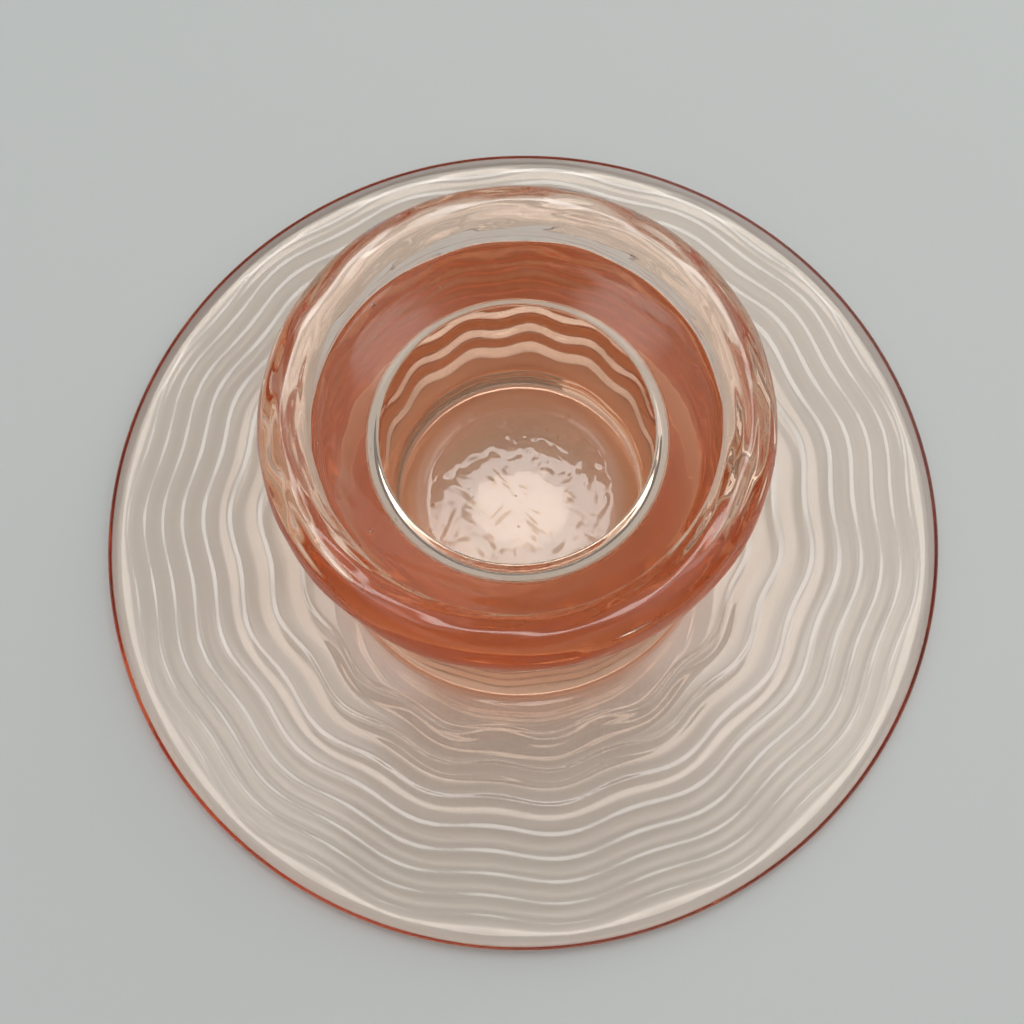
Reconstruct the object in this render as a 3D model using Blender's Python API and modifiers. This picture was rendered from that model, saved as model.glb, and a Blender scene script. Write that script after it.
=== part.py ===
"""Low pressed-glass candlestick, in metres, +Z up, standing on z = 0 with its axis on Z.

The real object is one glass pressing. It is modelled as the zones that the pressing is made of:
a ringed foot with a rounded rim, a thick candle cup, the socket's floor, a dished drip collar and
the bead round the collar's edge. Every zone is turned about Z from a profile in the XZ plane.
"""

import math

import bpy
from mathutils import Vector
from mathutils.geometry import interpolate_bezier

# Driving dimensions
FOOT_RADIUS = 0.0450
OVERALL_HEIGHT = 0.0318
COLLAR_RADIUS = 0.0226
SOCKET_MOUTH_RADIUS = 0.0129
SOCKET_FLOOR_RADIUS = 0.0126
SOCKET_FLOOR_HEIGHT = 0.0068
GAP = 0.0003

# Foot
RIM_THICKNESS = 0.0024
RIM_INNER_RADIUS = 0.0434
RIM_TOP_ROUNDING = 0.0005
RIM_UNDER_ROUNDING = 0.0012
FOOT_INNER_RADIUS = 0.0222
FOOT_TOP_AT_CUP = 0.0042
RESTING_RADIUS = 0.0380
UNDERSIDE_AT_CUP = 0.0006
RING_HEIGHT = 0.0004
RING_RADII = [share * FOOT_RADIUS for share in (0.545, 0.622, 0.695, 0.760, 0.812, 0.860, 0.908)]

# Waves of the rings
WAVES = 15
WAVE_REACH = 0.0004
WAVE_START = math.radians(1.0)

# Cup
CUP_TOP = 0.0228
CUP_TOP_RADIUS = 0.0200
CUP_FOOT_RADIUS = 0.0205
CUP_FOOT_HEIGHT = 0.0053
CUP_RINGS = 5
CUP_RING_TOP = 0.0214
CUP_RING_PITCH = 0.0034
CUP_RING_RISE = 0.0002
UNDERSIDE_AT_FLOOR = 0.0012
UNDERSIDE_AT_AXIS = 0.0020

# Collar
SHOULDER_RADIUS = 0.0142
LIP_HEIGHT = 0.0260
LIP_ROUNDING = 0.0005
LIP_SLOPE = 13
DISH_TURN_RADIUS = 0.0180
DISH_TURN_HEIGHT = 0.0275
DISH_TURN_SLOPE = 24
DISH_OUTER_SLOPE = 75
DISH_OUTER_RADIUS = 0.0196
DISH_EDGE_DROP = 0.0004
BEAD_THICKNESS = 0.0048
BEAD_BULGE = 0.0024
FLARE_TOP = 0.0267
FLARE_TOP_RADIUS = 0.0209
FLARE_FOOT = 0.0246

# Facets
ROUND_STEPS = 60
FLANK_STEPS = 4
WAVE_STEPS = 6 * WAVES


def clear_scene():
    """Removes every object of the scene."""
    for obj in list(bpy.data.objects):
        bpy.data.objects.remove(obj, do_unlink=True)


def parts_collection():
    """The collection that holds the candlestick's zones."""
    collection = bpy.data.collections.new("glass_candlestick")
    bpy.context.scene.collection.children.link(collection)
    return collection


def glass(name, colour):
    """Clear pink glass of the given depth of colour."""
    material = bpy.data.materials.new(name)
    material.use_nodes = True
    shader = material.node_tree.nodes["Principled BSDF"]
    shader.inputs["Base Color"].default_value = (*colour, 1.0)
    shader.inputs["Roughness"].default_value = 0.03
    shader.inputs["Metallic"].default_value = 0.0
    shader.inputs["Transmission Weight"].default_value = 0.9
    shader.inputs["IOR"].default_value = 1.5
    return material


def arc(centre, reach, rise, start, end, pieces):
    """Points on an ellipse about centre, from the angle start to the angle end, in degrees."""
    angles = [math.radians(start + (end - start) * i / pieces) for i in range(pieces + 1)]
    return [(centre[0] + reach * math.cos(a), centre[1] + rise * math.sin(a)) for a in angles]


def towards(point, degrees, reach):
    """The point at this reach from point, in a direction of the profile."""
    angle = math.radians(degrees)
    return (point[0] + reach * math.cos(angle), point[1] + reach * math.sin(angle))


def curve(start, leaving, end, arriving, pieces):
    """Points on a smooth curve that leaves start and reaches end in these directions, in degrees."""
    reach = math.dist(start, end) / 3
    handles = (towards(start, leaving, reach), towards(end, arriving, -reach))
    knots = [Vector((r, 0.0, z)) for r, z in (start, *handles, end)]
    return [(p.x, p.z) for p in interpolate_bezier(*knots, pieces + 1)]


def on_line(x, near, far):
    """Value at x of the straight line through the points near and far."""
    return near[1] + (far[1] - near[1]) * (x - near[0]) / (far[0] - near[0])


def foot_top(r):
    """Height of the foot's top, without its rings."""
    return on_line(r, (FOOT_INNER_RADIUS, FOOT_TOP_AT_CUP), (RIM_INNER_RADIUS, RIM_THICKNESS))


def foot_under(r):
    """Height of the foot's underside, which is flat near the rim and hollow towards the middle."""
    if r >= RESTING_RADIUS:
        return 0.0
    return on_line(r, (FOOT_INNER_RADIUS, UNDERSIDE_AT_CUP), (RESTING_RADIUS, 0.0))


def cup_flank():
    """The cup's outer side from its top down, with a shallow ring at every pitch."""
    points = [(CUP_TOP_RADIUS, CUP_TOP)]
    for i in range(FLANK_STEPS * CUP_RINGS - 1):
        turn = i / FLANK_STEPS
        z = CUP_RING_TOP - turn * CUP_RING_PITCH
        middle = on_line(z, (CUP_TOP, CUP_TOP_RADIUS), (CUP_FOOT_HEIGHT, CUP_FOOT_RADIUS))
        points.append((middle + CUP_RING_RISE * math.cos(math.tau * turn), z))
    return points + [(CUP_FOOT_RADIUS, CUP_FOOT_HEIGHT)]


def turned(name, profile, material, collection, steps, closed=True):
    """A solid of revolution about Z. The profile runs down its outer side."""
    mesh = bpy.data.meshes.new(name)
    count = len(profile)
    edges = [(i, i + 1) for i in range(count - 1)]
    if closed:
        edges.append((count - 1, 0))
    mesh.from_pydata([(r, 0.0, z) for r, z in profile], edges, [])
    obj = bpy.data.objects.new(name, mesh)
    collection.objects.link(obj)
    mesh.materials.append(material)
    screw = obj.modifiers.new("Turn", "SCREW")
    screw.axis = "Z"
    screw.angle = math.tau
    screw.steps = steps
    screw.render_steps = steps
    screw.use_merge_vertices = True
    screw.merge_threshold = 0.00001
    screw.use_smooth_shade = True
    return obj


def made_solid(obj):
    """The object with its modifiers applied to its mesh."""
    bpy.context.view_layer.update()
    graph = bpy.context.evaluated_depsgraph_get()
    obj.data = bpy.data.meshes.new_from_object(obj.evaluated_get(graph))
    obj.modifiers.clear()
    return obj


def ring_profile():
    """The foot's top from the cup outwards: each ring is a crest, with a valley after it."""
    points = []
    for ring, following in zip(RING_RADII, RING_RADII[1:] + [RIM_INNER_RADIUS - GAP]):
        points.append((ring, foot_top(ring) + 0.5 * RING_HEIGHT))
        valley = 0.5 * (ring + following)
        points.append((valley, foot_top(valley) - 0.5 * RING_HEIGHT))
    return points


def wave_rings(mesh):
    """Moves the ring points in and out, so that every ring runs in the same number of waves."""
    innermost = RING_RADII[0] - 0.5 * GAP
    outermost = 0.5 * (RING_RADII[-1] + RIM_INNER_RADIUS)
    for vertex in mesh.vertices:
        radius = math.hypot(vertex.co.x, vertex.co.y)
        on_top = vertex.co.z > 0.5 * (foot_top(radius) + foot_under(radius))
        if on_top and innermost < radius < outermost:
            angle = math.atan2(vertex.co.y, vertex.co.x)
            moved = radius - WAVE_REACH * math.cos(WAVES * (angle - WAVE_START))
            vertex.co.x *= moved / radius
            vertex.co.y *= moved / radius


def make_foot_rim(material, collection):
    above, below = RIM_TOP_ROUNDING, RIM_UNDER_ROUNDING
    profile = [(RIM_INNER_RADIUS, RIM_THICKNESS)]
    profile += arc((FOOT_RADIUS - above, RIM_THICKNESS - above), above, above, 90, 0, 4)
    profile += arc((FOOT_RADIUS - below, below), below, below, 0, -90, 6)
    profile += [(RIM_INNER_RADIUS, 0.0)]
    turned("foot_rim", profile, material, collection, ROUND_STEPS)


def make_foot_plate(material, collection):
    outer = RIM_INNER_RADIUS - GAP
    profile = [(FOOT_INNER_RADIUS, foot_top(FOOT_INNER_RADIUS))]
    profile += ring_profile()
    profile += [(outer, foot_top(outer)), (outer, 0.0), (RESTING_RADIUS, 0.0)]
    profile += [(FOOT_INNER_RADIUS, foot_under(FOOT_INNER_RADIUS))]
    plate = turned("foot_plate", profile, material, collection, WAVE_STEPS)
    wave_rings(made_solid(plate).data)


def make_candle_cup(material, collection):
    outer = FOOT_INNER_RADIUS - GAP
    flank = cup_flank()
    cove = curve(flank[-1], -80, (outer, foot_top(outer)), 0, 4)
    hollow_edge = (SOCKET_FLOOR_RADIUS, UNDERSIDE_AT_FLOOR)
    hollow = curve((outer, foot_under(outer)), 180, hollow_edge, 165, 4)
    profile = [(SHOULDER_RADIUS, CUP_TOP)] + flank + cove[1:] + hollow
    profile += [(SOCKET_FLOOR_RADIUS, SOCKET_FLOOR_HEIGHT)]
    turned("candle_cup", profile, material, collection, ROUND_STEPS)


def make_socket_floor(material, collection):
    outer = SOCKET_FLOOR_RADIUS - GAP
    profile = [(0.0, SOCKET_FLOOR_HEIGHT), (outer, SOCKET_FLOOR_HEIGHT)]
    profile += curve((outer, UNDERSIDE_AT_FLOOR), 165, (0.0, UNDERSIDE_AT_AXIS), 180, 6)
    turned("socket_floor", profile, material, collection, ROUND_STEPS, closed=False)


def make_drip_collar(material, collection):
    lip_middle = (SOCKET_MOUTH_RADIUS + LIP_ROUNDING, LIP_HEIGHT - LIP_ROUNDING)
    lip = arc(lip_middle, LIP_ROUNDING, LIP_ROUNDING, 180, 90, 4)
    turn = (DISH_TURN_RADIUS, DISH_TURN_HEIGHT)
    dish_edge = (DISH_OUTER_RADIUS, OVERALL_HEIGHT - DISH_EDGE_DROP)
    dish = curve(lip[-1], LIP_SLOPE, turn, DISH_TURN_SLOPE, 4)[1:]
    dish += curve(turn, DISH_TURN_SLOPE, dish_edge, DISH_OUTER_SLOPE, 8)[1:]
    flare = curve((FLARE_TOP_RADIUS, FLARE_TOP), -150, (CUP_TOP_RADIUS, FLARE_FOOT), -90, 4)
    profile = lip + dish + [(DISH_OUTER_RADIUS, FLARE_TOP)] + flare
    profile += [(CUP_TOP_RADIUS, CUP_TOP + GAP), (SHOULDER_RADIUS, CUP_TOP + GAP)]
    turned("drip_collar", profile, material, collection, ROUND_STEPS)


def make_collar_rim(material, collection):
    half = 0.5 * BEAD_THICKNESS
    centre = (COLLAR_RADIUS - BEAD_BULGE, OVERALL_HEIGHT - half)
    bead = arc(centre, BEAD_BULGE, half, 100, -100, 10)
    turned("collar_rim", bead, material, collection, ROUND_STEPS)


def build():
    clear_scene()
    collection = parts_collection()
    pale = (0.93, 0.80, 0.74)
    deep = (0.90, 0.52, 0.33)
    make_foot_rim(glass("foot_rim", deep), collection)
    make_foot_plate(glass("foot_plate", pale), collection)
    make_candle_cup(glass("candle_cup", deep), collection)
    make_socket_floor(glass("socket_floor", pale), collection)
    make_drip_collar(glass("drip_collar", deep), collection)
    make_collar_rim(glass("collar_rim", deep), collection)


build()
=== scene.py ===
"""Looks of the low pressed-glass candlestick: one continuous body of pink glass on a pale surface.

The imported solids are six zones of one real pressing. Glass shows every inner face, so the zones are
drawn here as the single body that they are. All sizes are in metres, in the frame of the solids.
"""

import math

import bmesh
import bpy
import numpy as np
from mathutils import Matrix, Vector


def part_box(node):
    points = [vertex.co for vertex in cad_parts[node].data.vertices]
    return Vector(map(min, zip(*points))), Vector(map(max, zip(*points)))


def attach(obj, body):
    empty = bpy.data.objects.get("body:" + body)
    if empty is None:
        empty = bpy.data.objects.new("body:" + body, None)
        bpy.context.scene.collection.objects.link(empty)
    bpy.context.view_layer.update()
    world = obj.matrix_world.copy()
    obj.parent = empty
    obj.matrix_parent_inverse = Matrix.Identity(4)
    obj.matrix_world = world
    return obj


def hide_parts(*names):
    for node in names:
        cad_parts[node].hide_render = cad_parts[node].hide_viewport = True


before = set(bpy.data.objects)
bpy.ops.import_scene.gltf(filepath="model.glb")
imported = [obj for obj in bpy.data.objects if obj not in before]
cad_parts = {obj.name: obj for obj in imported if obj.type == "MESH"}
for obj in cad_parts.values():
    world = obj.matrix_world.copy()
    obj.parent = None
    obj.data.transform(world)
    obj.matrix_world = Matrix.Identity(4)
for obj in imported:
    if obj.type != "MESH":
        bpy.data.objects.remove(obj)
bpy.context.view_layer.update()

ZONES = ("foot_rim", "foot_plate", "candle_cup", "socket_floor", "drip_collar", "collar_rim")
MM = 0.001

# Main sizes, read from the solids
rim_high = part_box("foot_rim")[1]
bead_low, bead_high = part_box("collar_rim")
floor_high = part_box("socket_floor")[1]
FOOT_RADIUS = rim_high.x
RIM_TOP = rim_high.z
COLLAR_RADIUS = bead_high.x
TOP = bead_high.z
BEAD = 0.5 * (bead_high.z - bead_low.z)
FLOOR_Z = floor_high.z

# Socket. The lip's two angles, in degrees, are where its rounding starts and ends.
SOCKET_FLOOR_RADIUS = 12.6 * MM
SOCKET_FILLET = 3.0 * MM
SHOULDER_RADIUS = 14.3 * MM
SHOULDER_Z = 22.8 * MM
SOCKET_MOUTH_RADIUS = 12.5 * MM
LIP_Z = 26.0 * MM
LIP_ROUNDING = 0.35 * MM
LIP_UNDER = 235
LIP_END = 103

# Collar. Its slope, and the angles where the bead joins the dish and the flare, are in degrees.
DISH_TURN_RADIUS = 18.0 * MM
DISH_TURN_Z = 27.5 * MM
DISH_TURN_SLOPE = 24
DISH_JOIN = 150
FLARE_JOIN = -38

# Cup
NECK_RADIUS = 20.0 * MM
NECK_Z = 25.2 * MM
CUP_FOOT_RADIUS = 20.5 * MM
CUP_FOOT_Z = 5.0 * MM

# Foot. Each hollow under it is deepest inside the first radius, and ends at the second.
FOOT_INNER_RADIUS = 21.4 * MM
FOOT_INNER_Z = 4.2 * MM
RIM_EDGE = 0.8 * MM
RIM_UNDER = 1.5 * MM
FOOT_HOLLOW = 0.6 * MM
FOOT_HOLLOW_RADII = (33.0 * MM, 43.0 * MM)
CUP_HOLLOW = 1.4 * MM
CUP_HOLLOW_RADII = (4.0 * MM, 20.5 * MM)

# Bends of the profile: the direction in degrees and the reach of the handle at each of two ends
WALL_BEND = ((89, 8.0 * MM), (-104, 3.0 * MM))
LIP_BEND = ((88, 1.2 * MM), (LIP_UNDER + 90, 0.8 * MM))
DISH_BEND = ((LIP_END - 90, 1.3 * MM), (180 + DISH_TURN_SLOPE, 1.4 * MM))
DISH_EDGE_BEND = ((DISH_TURN_SLOPE, 1.0 * MM), (DISH_JOIN + 90, 1.5 * MM))
FLARE_BEND = ((FLARE_JOIN - 90, 1.0 * MM), (88, 0.8 * MM))
FLANK_BEND = ((-92, 6.0 * MM), (94, 6.0 * MM))
COVE_BEND = ((-79, 0.8 * MM), (176, 0.8 * MM))

# Pressed rings on the foot
WAVES = 15
WAVE_START = math.radians(1.0)
RING_WAVE = 0.010 * FOOT_RADIUS
RING_SHARES = (0.545, 0.622, 0.695, 0.760, 0.812, 0.860, 0.905, 0.947)
RING_DEPTH = 0.14 * MM
RING_INNER_FLANK = 0.42 * MM
RING_OUTER_FLANK = 0.80 * MM
RING_FADE_IN = (FOOT_INNER_RADIUS, FOOT_INNER_RADIUS + 4.5 * MM)
RING_FADE_OUT = (FOOT_RADIUS - 2.2 * MM, FOOT_RADIUS - 1.2 * MM)
FOOT_TOP_LOWEST = 0.7 * RIM_TOP
CLOSE = 0.01 * MM

# Pressed rings on the cup
CUP_RINGS = 5
CUP_RING_TOP = 22.6 * MM
CUP_RING_PITCH = 3.1 * MM
CUP_RING_FLANK = 0.28 * CUP_RING_PITCH
CUP_RING_DEPTH = 0.24 * MM
CUP_WAVE = 0.5 * MM
FLANK_RADIUS = NECK_RADIUS - 0.8 * MM
FLANK_Z = (CUP_FOOT_Z - 0.5 * MM, CUP_RING_TOP + 2.0 * MM)

# Tool marks on the collar: waves with these turns round the axis, and lengths along the outline
MARK_SEED = 15
MARK_DEPTH = 0.055 * MM
MARK_COUNT = 16
MARK_TURNS = (1, 15)
MARK_LENGTHS = (0.7 * MM, 2.6 * MM)
MARK_START_Z = LIP_Z - 0.1 * MM
MARK_FADE_IN = 6.0 * MM
MARK_FADE_OUT = 1.5 * MM

# Wrinkles on the socket floor, which are bent so that none runs straight
WRINKLE_SEED = 4
WRINKLE_WAVES = 24
WRINKLE_LENGTHS = (0.6 * MM, 2.6 * MM)
WRINKLE_DEPTH = 0.026 * MM
WRINKLE_START = 0.6 * MM
WRINKLE_LOWEST = 0.9 * FLOOR_Z
WARP = 0.5 * MM
WARP_TURN = 2.0
WARP_LENGTHS_X = (1.1 * MM, 2.3 * MM)
WARP_LENGTHS_Y = (0.9 * MM, 2.9 * MM)

# Seed bubbles
SEED_SEED = 7
SEED_RADII = (0.07 * MM, 0.22 * MM)
SEED_SUBDIVISIONS = 2
FLOOR_SEEDS = 16
FLOOR_SEED_REACH = 10.0 * MM
FLOOR_SEED_DEPTHS = (0.5 * MM, 1.6 * MM)
COLLAR_SEEDS = 10
COLLAR_SEED_RADII = (16.0 * MM, 19.0 * MM)
COLLAR_SEED_HEIGHTS = (23.0 * MM, 25.2 * MM)

# Facets: steps round the axis, and rows along each piece of the profile
TURN_STEPS = 18 * WAVES
FLOOR_ROWS = 44
FILLET_ROWS = 8
WALL_ROWS = 16
SHOULDER_ROWS = 8
LIP_ROWS = 7
DISH_ROWS = 12
DISH_EDGE_ROWS = 16
BEAD_ROWS = 22
FLARE_ROWS = 12
FLANK_ROWS = 42
COVE_ROWS = 8
FOOT_TOP_ROWS = 106
RIM_EDGE_ROWS = 4
RIM_UNDER_ROWS = 10
UNDERSIDE_POINTS = 36

# Materials
GLASS_IOR = 1.5
GLASS_ABSORPTION = (0.90, 0.49, 0.18, 1.0)
GLASS_DENSITY = 70.0
BOARD_COLOUR = (0.78, 0.79, 0.77, 1.0)
BOARD_ROUGHNESS = 0.9
BOARD_SIZE = 4.0
BOARD_GAP = 0.03 * MM

# Sky: directions, and for each a ramp from one (cosine to the direction, strength) to another
SKY_COLOUR = (0.96, 1.0, 1.0, 1.0)
CEILING = (0.05, 0.0, 1.0)
CEILING_RAMP = ((0.55, 0.17), (0.96, 0.96))
ONLOOKER = (0.0, -0.24, 0.97)
ONLOOKER_RAMP = ((0.935, 1.0), (0.975, 0.25))
KEY = (0.0, 0.33, 0.94)
KEY_RAMP = ((0.987, 0.0), (0.998, 5.6))
LEFT = (-0.27, 0.08, 0.96)
RIGHT = (0.27, 0.15, 0.95)
SIDE_RAMP = ((0.988, 0.0), (0.998, 1.6))

# Soft panel
WINDOW = (0.62, 0.62, 0.45)
WINDOW_REACH = 0.50
WINDOW_SIZE = 0.60
WINDOW_RADIANCE = 0.62

# Camera. Its place is in foot radii, from the axis at the datum's height.
CAMERA_PLACE = (0.034, -0.901, 2.80)
CAMERA_DATUM_Z = 1.4 * MM
CAMERA_FORWARD = (-0.01855, 0.3069, -0.9515)
CAMERA_RIGHT = (0.99962, 0.0, -0.0195)
CAMERA_NEAREST = 5.0 * MM
SENSOR_MM = 36.0
LENS_MM = 42.6

# Light's bounces
GLASS_BOUNCES = 32
GLOSSY_BOUNCES = 16


def line(start, end, pieces):
    """Points from start to end, both included."""
    share = np.linspace(0.0, 1.0, pieces + 1)[:, None]
    return np.array(start) * (1 - share) + np.array(end) * share


def on_circle(centre, radius, degrees):
    """The point of the profile at this distance from centre, in a direction in degrees."""
    angle = math.radians(degrees)
    return (centre[0] + radius * math.cos(angle), centre[1] + radius * math.sin(angle))


def arc(centre, radius, start, end, pieces):
    """Points on a circle of the profile, between two angles in degrees."""
    return np.array([on_circle(centre, radius, a) for a in np.linspace(start, end, pieces + 1)])


def bend(start, end, handles, pieces):
    """Points on a Bezier curve of the profile, whose handles are (degrees, reach) from its ends."""
    (leaving, reach_out), (arriving, reach_in) = handles
    corners = (start, on_circle(start, reach_out, leaving), on_circle(end, reach_in, arriving), end)
    p0, p1, p2, p3 = (np.array(corner) for corner in corners)
    t = np.linspace(0.0, 1.0, pieces + 1)[:, None]
    return (1 - t) ** 3 * p0 + 3 * t * (1 - t) ** 2 * p1 + 3 * t * t * (1 - t) * p2 + t**3 * p3


def smooth_step(x, low, high):
    """From 0 below low to 1 above high, without a kink."""
    t = np.clip((x - low) / (high - low), 0.0, 1.0)
    return t * t * (3 - 2 * t)


def socket_outline():
    """The socket's floor and wall, and the lip that leans a little inwards over the wall."""
    corner = (SOCKET_FLOOR_RADIUS - SOCKET_FILLET, FLOOR_Z + SOCKET_FILLET)
    wall_foot = (SOCKET_FLOOR_RADIUS, corner[1])
    shoulder = (SHOULDER_RADIUS, SHOULDER_Z)
    nose = (SOCKET_MOUTH_RADIUS + LIP_ROUNDING, LIP_Z - LIP_ROUNDING)
    return [
        line((0.0, FLOOR_Z), (corner[0], FLOOR_Z), FLOOR_ROWS),
        arc(corner, SOCKET_FILLET, -90, 0, FILLET_ROWS),
        bend(wall_foot, shoulder, WALL_BEND, WALL_ROWS),
        bend(shoulder, on_circle(nose, LIP_ROUNDING, LIP_UNDER), LIP_BEND, SHOULDER_ROWS),
        arc(nose, LIP_ROUNDING, LIP_UNDER, LIP_END, LIP_ROWS),
    ]


def collar_outline(lip_end):
    """The dish round the lip, the bead at its edge and the flare under that, down to the neck."""
    turn = (DISH_TURN_RADIUS, DISH_TURN_Z)
    centre = (COLLAR_RADIUS - BEAD, TOP - BEAD)
    bead_in = on_circle(centre, BEAD, DISH_JOIN)
    bead_out = on_circle(centre, BEAD, FLARE_JOIN)
    return [
        bend(lip_end, turn, DISH_BEND, DISH_ROWS),
        bend(turn, bead_in, DISH_EDGE_BEND, DISH_EDGE_ROWS),
        arc(centre, BEAD, DISH_JOIN, FLARE_JOIN, BEAD_ROWS),
        bend(bead_out, (NECK_RADIUS, NECK_Z), FLARE_BEND, FLARE_ROWS),
    ]


def cup_outline():
    """The cup's outer flank and the cove at its foot."""
    base = (CUP_FOOT_RADIUS, CUP_FOOT_Z)
    return [
        bend((NECK_RADIUS, NECK_Z), base, FLANK_BEND, FLANK_ROWS),
        bend(base, (FOOT_INNER_RADIUS, FOOT_INNER_Z), COVE_BEND, COVE_ROWS),
    ]


def foot_outline():
    """The foot's top, its rim, rounder below than above, and its hollow underside to the axis."""
    edge = (FOOT_RADIUS - RIM_EDGE, RIM_TOP - RIM_EDGE)
    under = (FOOT_RADIUS - RIM_UNDER, RIM_UNDER)
    radii = np.linspace(under[0], 0.0, UNDERSIDE_POINTS)
    rise = FOOT_HOLLOW * (1 - smooth_step(radii, *FOOT_HOLLOW_RADII))
    rise += CUP_HOLLOW * (1 - smooth_step(radii, *CUP_HOLLOW_RADII))
    return [
        line((FOOT_INNER_RADIUS, FOOT_INNER_Z), (edge[0], RIM_TOP), FOOT_TOP_ROWS),
        arc(edge, RIM_EDGE, 90, 0, RIM_EDGE_ROWS),
        arc(under, RIM_UNDER, 0, -90, RIM_UNDER_ROWS),
        np.column_stack((radii, rise)),
    ]


def profile():
    """The glass's outline in (radius, height), from the socket floor's middle to the underside's."""
    pieces = socket_outline()
    pieces += collar_outline(tuple(pieces[-1][-1]))
    pieces += cup_outline()
    pieces += foot_outline()
    return np.concatenate([pieces[0]] + [piece[1:] for piece in pieces[1:]])


def ring_relief(r):
    """Height of the foot's pressed rings at the warped radius r, from 0 to 1."""
    height = np.zeros_like(r)
    for radius in (share * FOOT_RADIUS for share in RING_SHARES):
        reach = np.where(r < radius, RING_INNER_FLANK, RING_OUTER_FLANK)
        height += np.exp(-(((r - radius) / reach) ** 2))
    return height


def cup_relief(z):
    """Height of the rings round the cup's flank at the warped height z, from 0 to 1."""
    height = np.zeros_like(z)
    for i in range(CUP_RINGS):
        middle = CUP_RING_TOP - i * CUP_RING_PITCH
        height += np.exp(-(((z - middle) / CUP_RING_FLANK) ** 2))
    return height


def with_rings(r, z, angles):
    """The radii and heights with the wavy rings pressed on the foot's top and on the cup's flank."""
    wave = np.cos(WAVES * (angles - WAVE_START))[None, :]
    fade = smooth_step(r, *RING_FADE_IN) * (1 - smooth_step(r, *RING_FADE_OUT))
    foot_z = z + RING_DEPTH * fade * ring_relief(r + RING_WAVE * wave)
    flank_r = r + CUP_RING_DEPTH * cup_relief(z + CUP_WAVE * wave)
    on_foot = (z > FOOT_TOP_LOWEST) & (z < FOOT_INNER_Z + CLOSE) & (r > FOOT_INNER_RADIUS - CLOSE)
    on_flank = (z > FLANK_Z[0]) & (z < FLANK_Z[1]) & (r > FLANK_RADIUS)
    return np.where(on_flank, flank_r, r), np.where(on_foot, foot_z, z)


def marks(angles, reach):
    """Smooth irregularity from -1 to 1 or so, over the angles and the reach along the outline."""
    rng = np.random.default_rng(MARK_SEED)
    total = np.zeros((len(reach), len(angles)))
    for _ in range(MARK_COUNT):
        turns = rng.integers(MARK_TURNS[0], MARK_TURNS[1] + 1)
        length = rng.uniform(*MARK_LENGTHS) * rng.choice((-1, 1))
        phase = rng.uniform(0, math.tau)
        total += np.cos(turns * angles[None, :] + math.tau * reach[:, None] / length + phase)
    return total / math.sqrt(MARK_COUNT)


def with_tool_marks(r, z, turned, angles):
    """The radii and heights with the shallow marks that a tool leaves on the hot collar."""
    step = np.diff(turned, axis=0, prepend=turned[:1])
    reach = np.cumsum(np.hypot(step[:, 0], step[:, 1]))
    slope = np.gradient(turned, axis=0)
    slope /= np.hypot(slope[:, 0], slope[:, 1])[:, None]
    heights = turned[:, 1]
    lip = int(np.argmax(heights > MARK_START_Z))
    neck = lip + int(np.argmax(heights[lip:] < NECK_Z))
    weight = smooth_step(reach, reach[lip], reach[lip] + MARK_FADE_IN)
    weight *= 1 - smooth_step(reach, reach[neck] - MARK_FADE_OUT, reach[neck])
    shift = MARK_DEPTH * weight[:, None] * marks(angles, reach)
    return r + shift * slope[:, 1:], z - shift * slope[:, :1]


def warp(across, lengthwise, lengths):
    """Offset that bends the ripples."""
    return WARP * np.sin(across / lengths[0] + WARP_TURN * np.sin(lengthwise / lengths[1]))


def wrinkles(x, y):
    """Irregular ripples from -1 to 1 or so over a flat surface, fine and coarse together."""
    rng = np.random.default_rng(WRINKLE_SEED)
    bent_x = x + warp(y, x, WARP_LENGTHS_X)
    bent_y = y + warp(x, y, WARP_LENGTHS_Y)
    total = np.zeros_like(x)
    for _ in range(WRINKLE_WAVES):
        length = rng.uniform(*WRINKLE_LENGTHS)
        heading = rng.uniform(0, math.tau)
        travel = bent_x * math.cos(heading) + bent_y * math.sin(heading)
        total += length * np.cos(math.tau * travel / length + rng.uniform(0, math.tau))
    return total / (max(WRINKLE_LENGTHS) * math.sqrt(WRINKLE_WAVES))


def with_wrinkles(r, z, angles):
    """The heights with the ripples of the socket's floor and fillet, which die out at the axis."""
    in_socket = (r < SOCKET_FLOOR_RADIUS) & (z > WRINKLE_LOWEST) & (z < FLOOR_Z + SOCKET_FILLET)
    depth = WRINKLE_DEPTH * smooth_step(r, 0.0, WRINKLE_START)
    return np.where(in_socket, z + depth * wrinkles(r * np.cos(angles), r * np.sin(angles)), z)


def glass_points():
    """The body's vertices, which are rings of the turned profile and two poles, and the ring count."""
    outline = profile()
    turned = outline[1:-1]
    angles = np.arange(TURN_STEPS) * math.tau / TURN_STEPS
    r = np.repeat(turned[:, :1], TURN_STEPS, axis=1)
    z = np.repeat(turned[:, 1:], TURN_STEPS, axis=1)
    r, z = with_rings(r, z, angles)
    r, z = with_tool_marks(r, z, turned, angles)
    z = with_wrinkles(r, z, angles)
    points = np.stack((r * np.cos(angles), r * np.sin(angles), z), axis=-1).reshape(-1, 3)
    poles = [[0.0, 0.0, outline[0, 1]], [0.0, 0.0, outline[-1, 1]]]
    return np.concatenate((points, poles)), len(turned)


def glass_faces(rows):
    """Quads between the rings, and fans of triangles round the two poles."""
    steps = np.arange(TURN_STEPS)
    following = (steps + 1) % TURN_STEPS
    quads = []
    for row in range(rows - 1):
        a, b = row * TURN_STEPS, (row + 1) * TURN_STEPS
        quads += np.column_stack((a + steps, b + steps, b + following, a + following)).tolist()
    top, low = rows * TURN_STEPS, rows * TURN_STEPS + 1
    last = (rows - 1) * TURN_STEPS
    fans = [[top, int(i), int(j)] for i, j in zip(steps, following)]
    fans += [[low, int(last + j), int(last + i)] for i, j in zip(steps, following)]
    return quads + fans


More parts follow.
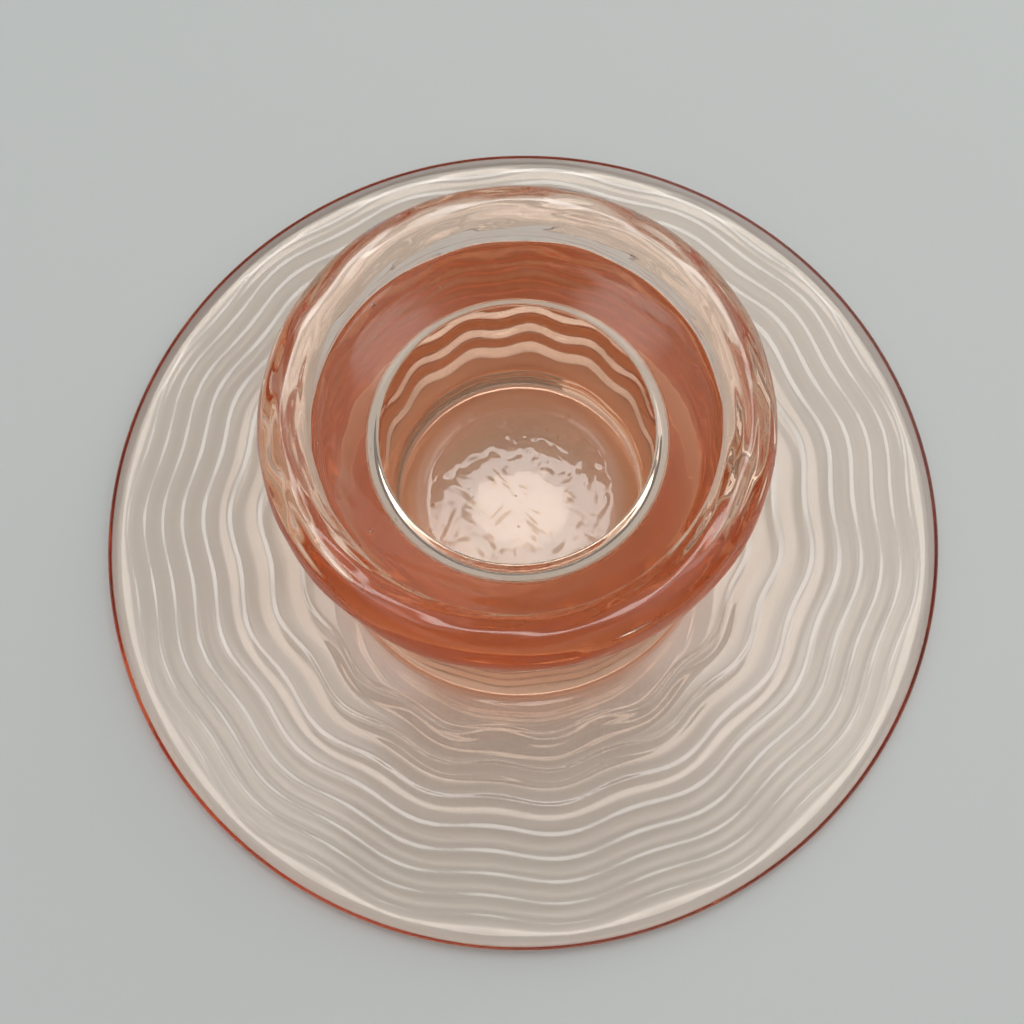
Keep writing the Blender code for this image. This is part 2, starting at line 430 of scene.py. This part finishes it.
def seed_places():
    """Middles of the bubbles in the glass: under the socket floor, and round the collar's thick part."""
    rng = np.random.default_rng(SEED_SEED)
    places = []
    for i in range(FLOOR_SEEDS + COLLAR_SEEDS):
        angle = rng.uniform(0, math.tau)
        if i < FLOOR_SEEDS:
            r = FLOOR_SEED_REACH * math.sqrt(rng.uniform(0, 1))
            z = FLOOR_Z - rng.uniform(*FLOOR_SEED_DEPTHS)
        else:
            r = rng.uniform(*COLLAR_SEED_RADII)
            z = rng.uniform(*COLLAR_SEED_HEIGHTS)
        places.append((r * math.cos(angle), r * math.sin(angle), z))
    return places


def add_seeds(mesh):
    """Cuts the bubbles out of the glass: small round cavities, whose faces look inwards."""
    rng = np.random.default_rng(SEED_SEED)
    drawn = bmesh.new()
    drawn.from_mesh(mesh)
    for place in seed_places():
        size = {"subdivisions": SEED_SUBDIVISIONS, "radius": rng.uniform(*SEED_RADII)}
        ball = bmesh.ops.create_icosphere(drawn, matrix=Matrix.Translation(place), **size)
        faces = {face for vertex in ball["verts"] for face in vertex.link_faces}
        bmesh.ops.reverse_faces(drawn, faces=list(faces))
    drawn.to_mesh(mesh)
    drawn.free()


def glass_material():
    """Clear glass whose colour comes from its depth alone."""
    material = bpy.data.materials.new("pink_glass")
    material.use_nodes = True
    nodes, links = material.node_tree.nodes, material.node_tree.links
    shader = nodes["Principled BSDF"]
    shader.inputs["Base Color"].default_value = (1.0, 1.0, 1.0, 1.0)
    shader.inputs["Roughness"].default_value = 0.0
    shader.inputs["IOR"].default_value = GLASS_IOR
    shader.inputs["Transmission Weight"].default_value = 1.0
    absorb = nodes.new("ShaderNodeVolumeAbsorption")
    absorb.inputs["Color"].default_value = GLASS_ABSORPTION
    absorb.inputs["Density"].default_value = GLASS_DENSITY
    links.new(absorb.outputs["Volume"], nodes["Material Output"].inputs["Volume"])
    return material


def make_glass():
    """The whole pressing, which stands for all six zones."""
    points, rows = glass_points()
    mesh = bpy.data.meshes.new("candlestick_glass")
    mesh.from_pydata(points.tolist(), [], glass_faces(rows))
    mesh.validate()
    add_seeds(mesh)
    mesh.shade_smooth()
    body = bpy.data.objects.new("candlestick_glass", mesh)
    bpy.context.scene.collection.objects.link(body)
    mesh.materials.append(glass_material())
    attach(body, "root")
    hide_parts(*ZONES)


def make_floor():
    """The pale board, a hair under the glass so that the two faces never meet."""
    bpy.ops.mesh.primitive_plane_add(size=BOARD_SIZE)
    floor = bpy.context.object
    floor.name = "floor"
    floor.location.z = -BOARD_GAP
    material = bpy.data.materials.new("pale_board")
    material.use_nodes = True
    shader = material.node_tree.nodes["Principled BSDF"]
    shader.inputs["Base Color"].default_value = BOARD_COLOUR
    shader.inputs["Roughness"].default_value = BOARD_ROUGHNESS
    floor.data.materials.append(material)


def make_window():
    """A soft panel near by, which makes the board a little brighter on its own side."""
    data = bpy.data.lights.new("window", "AREA")
    data.shape = "SQUARE"
    data.size = WINDOW_SIZE
    data.energy = WINDOW_RADIANCE * math.pi * WINDOW_SIZE**2
    lamp = bpy.data.objects.new("window", data)
    away = Vector(WINDOW).normalized()
    lamp.location = away * WINDOW_REACH
    lamp.rotation_euler = away.to_track_quat("Z", "Y").to_euler()
    bpy.context.scene.collection.objects.link(lamp)


def sky_ramp(tree, towards, low, high):
    """Strength that changes smoothly between two (cosine, strength) pairs, by the angle to a direction."""
    place = tree.nodes.new("ShaderNodeTexCoord")
    lean = tree.nodes.new("ShaderNodeVectorMath")
    lean.operation = "DOT_PRODUCT"
    lean.inputs[1].default_value = Vector(towards).normalized()
    tree.links.new(place.outputs["Generated"], lean.inputs[0])
    ramp = tree.nodes.new("ShaderNodeMapRange")
    ramp.interpolation_type = "SMOOTHSTEP"
    ramp.inputs["From Min"].default_value = low[0]
    ramp.inputs["From Max"].default_value = high[0]
    ramp.inputs["To Min"].default_value = low[1]
    ramp.inputs["To Max"].default_value = high[1]
    tree.links.new(lean.outputs["Value"], ramp.inputs["Value"])
    return ramp.outputs["Result"]


def combined(tree, operation, first, second):
    """The result of a sum or a product of two node outputs."""
    node = tree.nodes.new("ShaderNodeMath")
    node.operation = operation
    tree.links.new(first, node.inputs[0])
    tree.links.new(second, node.inputs[1])
    return node.outputs["Value"]


def make_world():
    """A soft room: a bright ceiling with three soft lamps, and a dim patch where someone leans over."""
    world = bpy.data.worlds.new("soft_room")
    bpy.context.scene.world = world
    world.use_nodes = True
    tree = world.node_tree
    ceiling = sky_ramp(tree, CEILING, *CEILING_RAMP)
    light = combined(tree, "MULTIPLY", ceiling, sky_ramp(tree, ONLOOKER, *ONLOOKER_RAMP))
    for towards, ramp in ((KEY, KEY_RAMP), (LEFT, SIDE_RAMP), (RIGHT, SIDE_RAMP)):
        light = combined(tree, "ADD", light, sky_ramp(tree, towards, *ramp))
    background = tree.nodes["Background"]
    background.inputs["Color"].default_value = SKY_COLOUR
    tree.links.new(light, background.inputs["Strength"])


def make_camera():
    """The camera, above the near side of the foot and looking steeply down."""
    data = bpy.data.cameras.new("camera")
    data.sensor_width = SENSOR_MM
    data.lens = LENS_MM
    data.clip_start = CAMERA_NEAREST
    camera = bpy.data.objects.new("camera", data)
    forward = Vector(CAMERA_FORWARD).normalized()
    down = forward.cross(Vector(CAMERA_RIGHT).normalized()).normalized()
    right = down.cross(forward).normalized()
    turn = Matrix((right, -down, -forward)).transposed()
    place = Vector(CAMERA_PLACE) * FOOT_RADIUS + Vector((0, 0, CAMERA_DATUM_Z))
    camera.matrix_world = Matrix.Translation(place) @ turn.to_4x4()
    bpy.context.scene.collection.objects.link(camera)
    bpy.context.scene.camera = camera


def set_light_paths():
    """Plain colours, and enough bounces for light to cross all the glass's surfaces."""
    scene = bpy.context.scene
    scene.view_settings.view_transform = "Standard"
    scene.cycles.blur_glossy = 0.0
    scene.cycles.max_bounces = GLASS_BOUNCES
    scene.cycles.transmission_bounces = GLASS_BOUNCES
    scene.cycles.glossy_bounces = GLOSSY_BOUNCES


make_glass()
make_floor()
make_world()
make_window()
make_camera()
set_light_paths()
